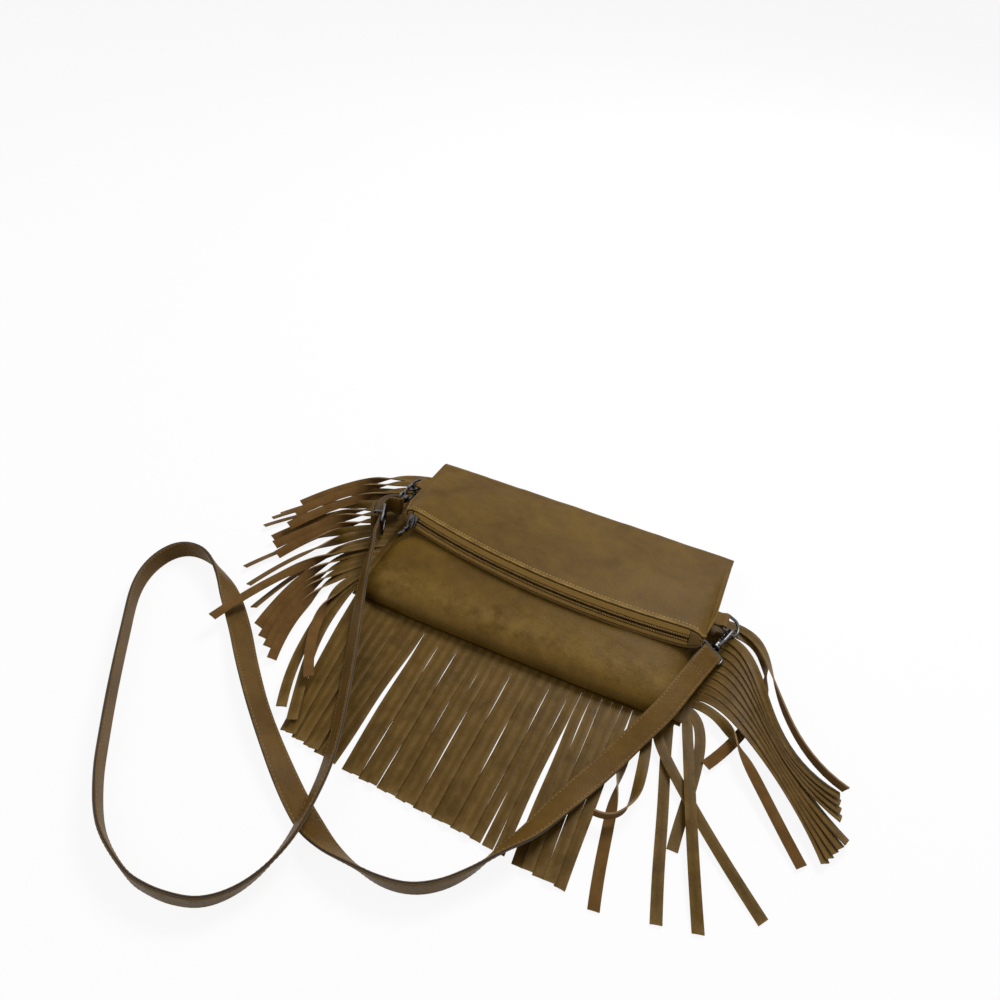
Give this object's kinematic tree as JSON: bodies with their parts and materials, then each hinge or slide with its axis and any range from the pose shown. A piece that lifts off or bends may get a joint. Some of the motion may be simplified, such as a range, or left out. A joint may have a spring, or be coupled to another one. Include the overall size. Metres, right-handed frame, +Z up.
{
  "type": "fringed fold-over crossbody bag",
  "caption": "Fold-over leather crossbody bag with fringed edges, a curved zip under the folded flap, and a long clip-on strap.",
  "frame": {"origin": "middle of the back panel's flat face that the bag rests on", "axes": "+X along the bag's width, +Y from the bottom seam to the fold, +Z up out of the front"},
  "size_m": [0.573, 0.4332, 0.0353],
  "materials": {
    "bag_leather": "grained olive brown with a soft bronze sheen",
    "fringe_leather": "grained face with a pale tan suede back",
    "strap_leather": "two grained plies with dark edges",
    "zip_tape": "woven tape",
    "zip_coil": "satin nylon coil",
    "gunmetal": "dark plated, semi-gloss"
  },
  "bodies": {
    "bag": {"back_panel": "bag_leather", "front_panel": "bag_leather", "bottom_fringe": "fringe_leather", "left_fringe": "fringe_leather", "right_fringe": "fringe_leather", "zip_tape_upper": "zip_tape", "zip_tape_lower": "zip_tape", "zip_coil_upper": "zip_coil", "zip_coil_lower": "zip_coil", "zip_end_tab_left": "bag_leather", "zip_end_tab_right": "bag_leather", "left_ring_tab": "bag_leather", "right_ring_tab": "bag_leather", "left_hook_eye": "gunmetal", "right_hook_eye": "gunmetal", "strap_adjuster": "gunmetal", "strap": "strap_leather"},
    "slider": {"zip_slider": "gunmetal"},
    "pull_link": {"zip_pull_link": "gunmetal"},
    "pull_tab": {"zip_pull_tab": "gunmetal"},
    "left_ring": {"left_d_ring": "gunmetal"},
    "right_ring": {"right_d_ring": "gunmetal"},
    "left_hook": {"left_hook_body": "gunmetal", "left_gate_pin": "gunmetal"},
    "right_hook": {"right_hook_body": "gunmetal", "right_gate_pin": "gunmetal"},
    "left_gate": {"left_hook_gate": "gunmetal"},
    "right_gate": {"right_hook_gate": "gunmetal"}
  },
  "joints": [
    {"name": "zip_travel", "type": "hinge", "parent": "bag", "child": "slider", "pos_m": [0.03836, 0.5101, -0.09707], "axis": [0.016, 0.2244, 0.9744], "range_deg": [0, 25.3]},
    {"name": "pull_link_swing", "type": "hinge", "parent": "slider", "child": "pull_link", "pos_m": [-0.12758, -0.00956, 0.02746], "axis": [-0.9549, 0.2925, -0.0517], "range_deg": [0, 80]},
    {"name": "pull_tab_swing", "type": "hinge", "parent": "pull_link", "child": "pull_tab", "pos_m": [-0.12877, -0.01453, 0.02131], "axis": [-0.9549, 0.2925, -0.0517], "range_deg": [0, 60]},
    {"name": "left_ring_swing", "type": "hinge", "parent": "bag", "child": "left_ring", "pos_m": [-0.1505, 0.048, 0.01441], "axis": [0, 1, 0], "range_deg": [-2, 5]},
    {"name": "left_hook_swivel", "type": "hinge", "parent": "bag", "child": "left_hook", "pos_m": [-0.15407, 0.02382, 0.01498], "axis": [0.0986, -0.9712, 0.2169], "range_deg": [-12, 12]},
    {"name": "left_gate_swing", "type": "hinge", "parent": "left_hook", "child": "left_gate", "pos_m": [-0.15655, 0.02642, 0.01849], "axis": [-0.8633, -0.1919, -0.4668], "range_deg": [0, 35], "stiffness_Nm_per_rad": 0.01, "springref_deg": -17.19},
    {"name": "right_ring_swing", "type": "hinge", "parent": "bag", "child": "right_ring", "pos_m": [0.1505, 0.013, 0.01599], "axis": [0, 1, 0], "range_deg": [-2, 5]},
    {"name": "right_hook_swivel", "type": "hinge", "parent": "bag", "child": "right_hook", "pos_m": [0.15075, -0.01087, 0.01381], "axis": [-0.3008, -0.9524, 0.0501], "range_deg": [-12, 12]},
    {"name": "right_gate_swing", "type": "hinge", "parent": "right_hook", "child": "right_gate", "pos_m": [0.14906, -0.00845, 0.00975], "axis": [0.814, -0.2837, -0.5068], "range_deg": [0, 35], "stiffness_Nm_per_rad": 0.01, "springref_deg": -17.19}
  ]
}
